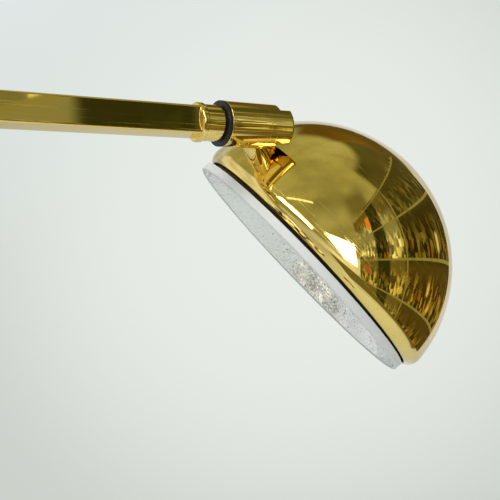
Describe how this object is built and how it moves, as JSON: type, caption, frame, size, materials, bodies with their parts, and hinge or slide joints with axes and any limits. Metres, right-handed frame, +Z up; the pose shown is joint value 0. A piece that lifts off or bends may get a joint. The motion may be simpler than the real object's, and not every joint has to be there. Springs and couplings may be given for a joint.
{
  "type": "floor lamp",
  "caption": "Counterbalance floor lamp in polished brass with a turning fork, a tilting square arm, a cylindrical counterweight and a rolling half-globe shade with a hammered reflector",
  "frame": {"origin": "centre of the base's underside, on the floor", "axes": "+X runs from the stem along the level arm towards the shade, +Z runs up the stem, and +Y is to the left of someone who looks along the arm from the counterweight"},
  "size_m": [1.072, 0.25, 1.1824],
  "materials": {
    "polished_brass": "polished and lacquered, mirror bright with faint wear",
    "cap_brass": "plain pressed brass",
    "black_nylon": "moulded black nylon, satin",
    "lead_sheath": "black sheathed lead",
    "zinc_steel": "bright zinc plate",
    "cast_iron": "rough casting, black dip",
    "felt": "dark green felt",
    "hammered_aluminium": "bright anodised, hammered inside, smooth lip",
    "porcelain": "white glaze",
    "opal_glass": "opal white, satin",
    "phenolic": "brown moulded phenolic"
  },
  "bodies": {
    "stand": {"base_felt": "felt", "base_weight": "cast_iron", "base_cover": "polished_brass", "base_washer": "zinc_steel", "base_nut": "zinc_steel", "base_rod": "zinc_steel", "cord_bush": "black_nylon", "foot_flange": "polished_brass", "stem_plug": "polished_brass", "stem_tube": "polished_brass", "stem_lead": "lead_sheath", "stem_fitting": "polished_brass", "fork_stud": "zinc_steel", "fork_washer": "black_nylon", "fork_spring": "zinc_steel", "fork_nut": "zinc_steel", "switch_neck": "polished_brass", "switch_housing": "polished_brass", "dimmer": "phenolic", "dimmer_nut": "zinc_steel"},
    "dimmer_control": {"dimmer_shaft": "zinc_steel", "switch_knob": "polished_brass"},
    "fork_turn": {"fork": "polished_brass", "pivot_bolt": "zinc_steel", "pivot_washers": "black_nylon", "tension_washer": "zinc_steel"},
    "tension_control": {"tension_knob": "polished_brass"},
    "arm": {"pivot_block": "polished_brass", "arm_tube": "polished_brass", "tail_tube": "polished_brass", "counterweight": "polished_brass", "lock_screw": "zinc_steel", "arm_fitting": "polished_brass", "arm_lead": "lead_sheath", "head_stud": "zinc_steel", "head_washer": "black_nylon", "head_spring": "zinc_steel", "head_nut": "zinc_steel"},
    "head": {"swivel_barrel": "polished_brass", "end_plug": "polished_brass", "mount_post": "polished_brass", "shade_nipple": "zinc_steel", "shade_nuts": "zinc_steel", "shade": "polished_brass", "socket_strap": "zinc_steel", "stub_nut": "zinc_steel", "lamp_socket": "porcelain", "socket_shell": "cap_brass", "socket_ring": "porcelain", "bulb_cap": "cap_brass", "bulb_glass": "opal_glass", "reflector": "hammered_aluminium"}
  },
  "joints": [
    {"name": "fork_swivel", "type": "hinge", "parent": "stand", "child": "fork_turn", "pos_m": [0, 0, 1.1184], "axis": [0, 0, 1], "range_deg": [-170, 170]},
    {"name": "arm_tilt", "type": "hinge", "parent": "fork_turn", "child": "arm", "pos_m": [0, 0, 1.1564], "axis": [0, 1, 0], "range_deg": [-45, 45]},
    {"name": "head_roll", "type": "hinge", "parent": "arm", "child": "head", "pos_m": [0.632, 0, 1.1564], "axis": [1, 0, 0], "range_deg": [-150, 150]},
    {"name": "tension_turn", "type": "hinge", "parent": "fork_turn", "child": "tension_control", "pos_m": [0, 0.0155, 1.1564], "axis": [0, 1, 0], "range_deg": [0, 180]},
    {"name": "dimmer_turn", "type": "hinge", "parent": "stand", "child": "dimmer_control", "pos_m": [0, -0.05, 0.88], "axis": [0, 1, 0], "range_deg": [0, 300]}
  ]
}
